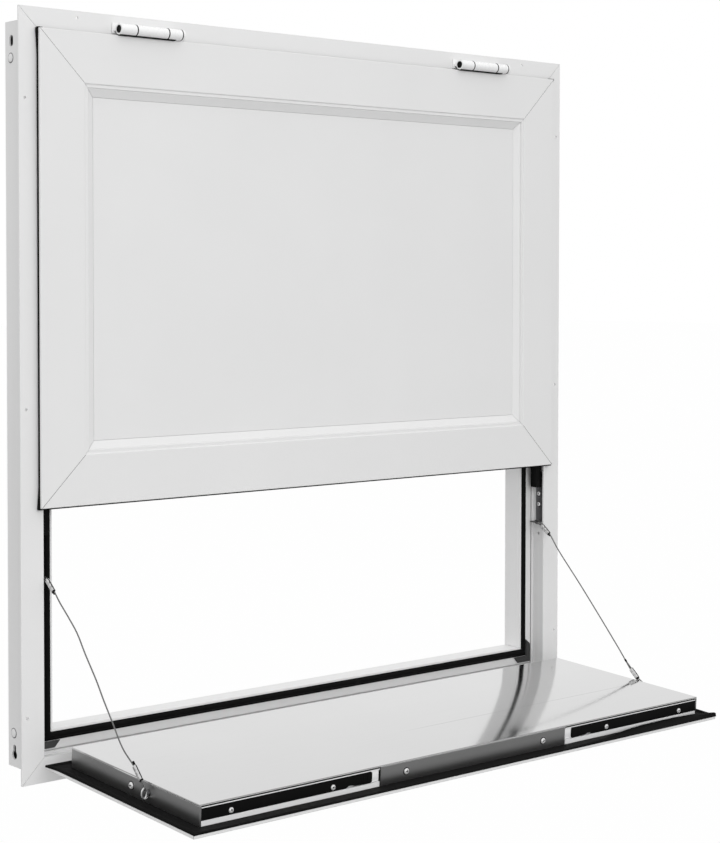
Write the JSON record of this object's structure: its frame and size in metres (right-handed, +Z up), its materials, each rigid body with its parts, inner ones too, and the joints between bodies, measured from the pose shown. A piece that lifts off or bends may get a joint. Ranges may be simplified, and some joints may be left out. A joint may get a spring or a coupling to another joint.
{
  "type": "concession window",
  "caption": "Serving window frame with a top-hung hatch on gas struts above a fold-down shelf on stay cables and slide latches.",
  "frame": {"origin": "on the back face of the mounting flange, at mid width, in the middle of the bottom strip that lies against the wall", "axes": "+Z up, +X to the right as seen from outside, +Y into the wall; the shelf is let down and the hatch closed at rest"},
  "size_m": [0.965, 0.3964, 0.976],
  "materials": {
    "white_paint": "white powder coat on aluminium",
    "black_rubber": "matt",
    "grey_plastic": "matt",
    "stainless_steel": "smooth satin",
    "bare_aluminium": "mill finish",
    "black_plastic": "satin",
    "zinc_steel": "zinc plated",
    "black_steel": "black enamel"
  },
  "bodies": {
    "frame": {"frame_head_rail": "white_paint", "frame_left_jamb": "white_paint", "frame_right_jamb": "white_paint", "frame_sill_rail": "white_paint", "frame_bulb_seal": "black_rubber", "corner_key_lower_left": "grey_plastic", "corner_key_lower_right": "grey_plastic", "corner_key_upper_left": "grey_plastic", "corner_key_upper_right": "grey_plastic", "hatch_hinge_left_frame_leaf": "white_paint", "hatch_hinge_right_frame_leaf": "white_paint", "shelf_hinge_left_frame_leaf": "white_paint", "shelf_hinge_right_frame_leaf": "white_paint", "stay_bracket_left": "zinc_steel", "stay_bracket_right": "zinc_steel", "stay_cable_left": "zinc_steel", "stay_cable_right": "zinc_steel"},
    "hatch": {"hatch_bottom_rail": "white_paint", "hatch_left_rail": "white_paint", "hatch_right_rail": "white_paint", "hatch_top_rail": "white_paint", "hatch_panel": "white_paint", "hatch_inner_pan": "white_paint", "hatch_gasket": "black_rubber", "hatch_hinge_left_leaf_knuckle": "white_paint", "hatch_hinge_right_leaf_knuckle": "white_paint", "hatch_strut_stud_left": "zinc_steel", "hatch_strut_stud_right": "zinc_steel"},
    "shelf": {"shelf_bottom_rail": "white_paint", "shelf_left_rail": "white_paint", "shelf_right_rail": "white_paint", "shelf_top_rail": "white_paint", "shelf_panel": "white_paint", "shelf_inner_pan": "stainless_steel", "shelf_gasket": "black_rubber", "shelf_hinge_left_leaf_knuckle": "white_paint", "shelf_hinge_right_leaf_knuckle": "white_paint", "latch_channel_left": "bare_aluminium", "latch_channel_right": "bare_aluminium", "shelf_cable_eye_left": "zinc_steel", "shelf_cable_eye_right": "zinc_steel"},
    "strut_tube_left": {"strut_tube_left": "black_steel"},
    "strut_rod_left": {"strut_rod_left": "zinc_steel"},
    "latch_bar_left": {"latch_bar_left": "black_plastic"},
    "strut_tube_right": {"strut_tube_right": "black_steel"},
    "strut_rod_right": {"strut_rod_right": "zinc_steel"},
    "latch_bar_right": {"latch_bar_right": "black_plastic"}
  },
  "joints": [
    {"name": "hatch_hinge", "type": "hinge", "parent": "frame", "child": "hatch", "pos_m": [0, -0.0162, 0.94965], "axis": [-1, 0, 0], "range_deg": [0, 80]},
    {"name": "shelf_hinge", "type": "hinge", "parent": "frame", "child": "shelf", "pos_m": [0, -0.0162, 0.01185], "axis": [-1, 0, 0], "range_deg": [0, 93], "deforming": ["stay_cable_left", "stay_cable_right"]},
    {"name": "strut_pivot_left", "type": "hinge", "parent": "frame", "child": "strut_tube_left", "pos_m": [-0.4439, 0.0085, 0.32075], "axis": [1, 0, 0], "range_deg": [0, 15.31]},
    {"name": "strut_slide_left", "type": "slide", "parent": "strut_tube_left", "child": "strut_rod_left", "axis": [0, 0, 1], "range_m": [0, 0.1131]},
    {"name": "strut_pivot_right", "type": "hinge", "parent": "frame", "child": "strut_tube_right", "pos_m": [0.4439, 0.0085, 0.32075], "axis": [1, 0, 0], "range_deg": [0, 15.31]},
    {"name": "strut_slide_right", "type": "slide", "parent": "strut_tube_right", "child": "strut_rod_right", "axis": [0, 0, 1], "range_m": [0, 0.1131]},
    {"name": "latch_slide_left", "type": "slide", "parent": "shelf", "child": "latch_bar_left", "axis": [1, 0, 0], "range_m": [0, 0.01]},
    {"name": "latch_slide_right", "type": "slide", "parent": "shelf", "child": "latch_bar_right", "axis": [-1, 0, 0], "range_m": [0, 0.01]}
  ],
  "couplings": [
    {"joint": "strut_pivot_left", "follows": "hatch_hinge", "ratio": 0.19072},
    {"joint": "strut_slide_left", "follows": "hatch_hinge", "m_per_rad": 0.080619},
    {"joint": "strut_pivot_right", "follows": "hatch_hinge", "ratio": 0.19072},
    {"joint": "strut_slide_right", "follows": "hatch_hinge", "m_per_rad": 0.080619}
  ]
}
